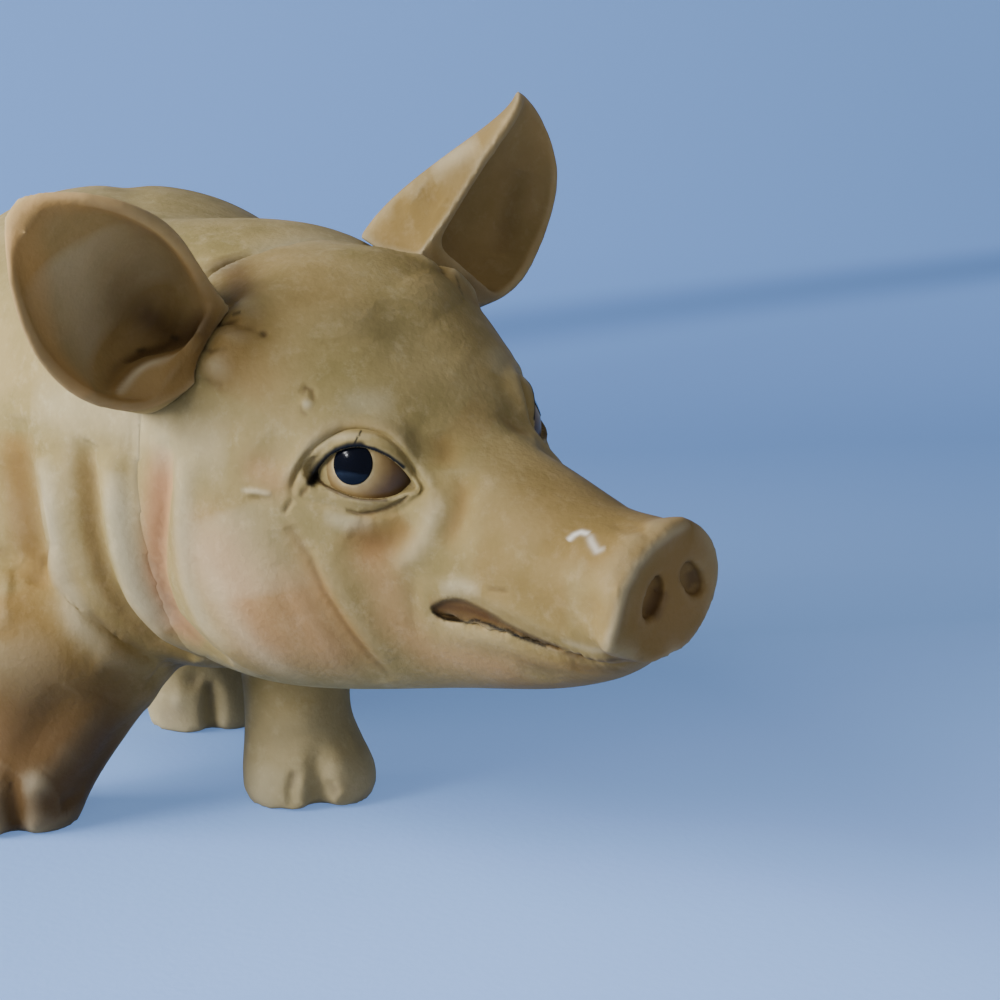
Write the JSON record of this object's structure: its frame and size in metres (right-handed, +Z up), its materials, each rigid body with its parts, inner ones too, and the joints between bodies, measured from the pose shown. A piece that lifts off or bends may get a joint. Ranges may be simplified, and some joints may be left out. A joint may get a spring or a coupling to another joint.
{
  "type": "pig figurine",
  "caption": "Standing pig ornament with its head turned to one side, cupped ears, a round snout and a curled tail, cast in painted resin.",
  "frame": {"origin": "on the ground under the middle of the part's bounding box", "axes": "+X to the front of the body, +Y to the pig's left, +Z up"},
  "size_m": [0.1386, 0.0778, 0.085],
  "materials": {
    "body_paint": "matte hand-painted cast resin, warm beige with a brown wash in the folds",
    "head_paint": "matte hand-painted cast resin, warm beige with pink cheeks",
    "ear_paint": "matte hand-painted cast resin, brown inside the cup",
    "eye_white": "satin beige paint",
    "pupil_black": "gloss black lacquer with a blue cast",
    "pin_steel": "plain steel wire",
    "plug_resin": "matte cast resin"
  },
  "bodies": {
    "root": {"body_casting": "body_paint", "head_casting": "head_paint", "ear_left": "ear_paint", "ear_right": "ear_paint", "ear_pin_left": "pin_steel", "ear_pin_right": "pin_steel", "eye_left": "eye_white", "eye_right": "eye_white", "pupil_left": "pupil_black", "pupil_right": "pupil_black", "neck_pin_upper": "pin_steel", "neck_pin_lower": "pin_steel", "tail": "body_paint", "tail_pin": "pin_steel", "belly_plug": "plug_resin"}
  },
  "joints": []
}
